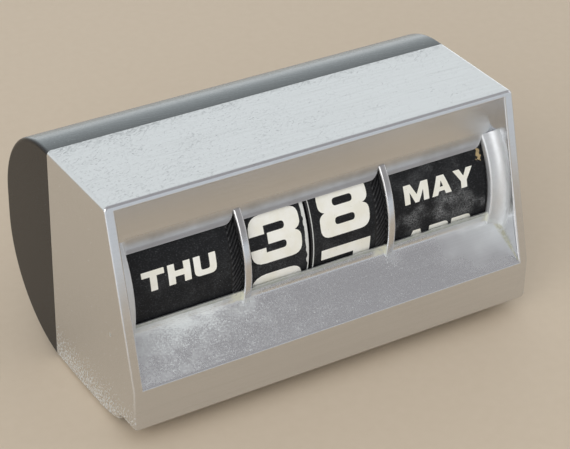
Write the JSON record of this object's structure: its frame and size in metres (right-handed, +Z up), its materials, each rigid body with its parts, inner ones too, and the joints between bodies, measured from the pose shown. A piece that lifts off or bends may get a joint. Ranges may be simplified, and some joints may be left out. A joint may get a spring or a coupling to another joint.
{
  "type": "perpetual desk calendar",
  "caption": "Desk calendar with labelled drums on a common axle, rolled by finger behind the window of a sloping silver case with a rounded black back.",
  "frame": {"origin": "middle of the footprint, at the level of the table under the feet", "axes": "+X along the axle to the right as the window is read, +Y to the rounded back, +Z up"},
  "size_m": [0.12, 0.0706, 0.0625],
  "materials": {
    "satin_silver": "satin",
    "gloss_black": "gloss",
    "drum_black": "matte",
    "printed_paper": "matte",
    "bright_steel": "satin",
    "spring_steel": "satin",
    "zinc_steel": "satin",
    "nylon": "matte",
    "foot_rubber": "matte"
  },
  "bodies": {
    "case": {"front_case": "satin_silver", "rear_cover": "gloss_black", "axle": "bright_steel", "left_axle_clip": "spring_steel", "right_axle_clip": "spring_steel", "left_end_washer": "nylon", "weekday_tens_washer": "nylon", "tens_ones_washer": "nylon", "ones_month_washer": "nylon", "right_end_washer": "nylon", "friction_spring": "spring_steel", "case_screws": "zinc_steel", "foot_front_left": "foot_rubber", "foot_front_right": "foot_rubber", "foot_rear_left": "foot_rubber", "foot_rear_right": "foot_rubber"},
    "weekday_wheel": {"weekday_drum": "drum_black", "weekday_label": "printed_paper"},
    "tens_wheel": {"tens_drum": "drum_black", "tens_label": "printed_paper"},
    "ones_wheel": {"ones_drum": "drum_black", "ones_label": "printed_paper"},
    "month_wheel": {"month_drum": "drum_black", "month_label": "printed_paper"}
  },
  "joints": [
    {"name": "weekday_turn", "type": "hinge", "parent": "case", "child": "weekday_wheel", "pos_m": [0, 0.00275, 0.0313], "axis": [1, 0, 0], "continuous": true},
    {"name": "tens_turn", "type": "hinge", "parent": "case", "child": "tens_wheel", "pos_m": [0, 0.00275, 0.0313], "axis": [1, 0, 0], "continuous": true},
    {"name": "ones_turn", "type": "hinge", "parent": "case", "child": "ones_wheel", "pos_m": [0, 0.00275, 0.0313], "axis": [1, 0, 0], "continuous": true},
    {"name": "month_turn", "type": "hinge", "parent": "case", "child": "month_wheel", "pos_m": [0, 0.00275, 0.0313], "axis": [1, 0, 0], "continuous": true}
  ]
}
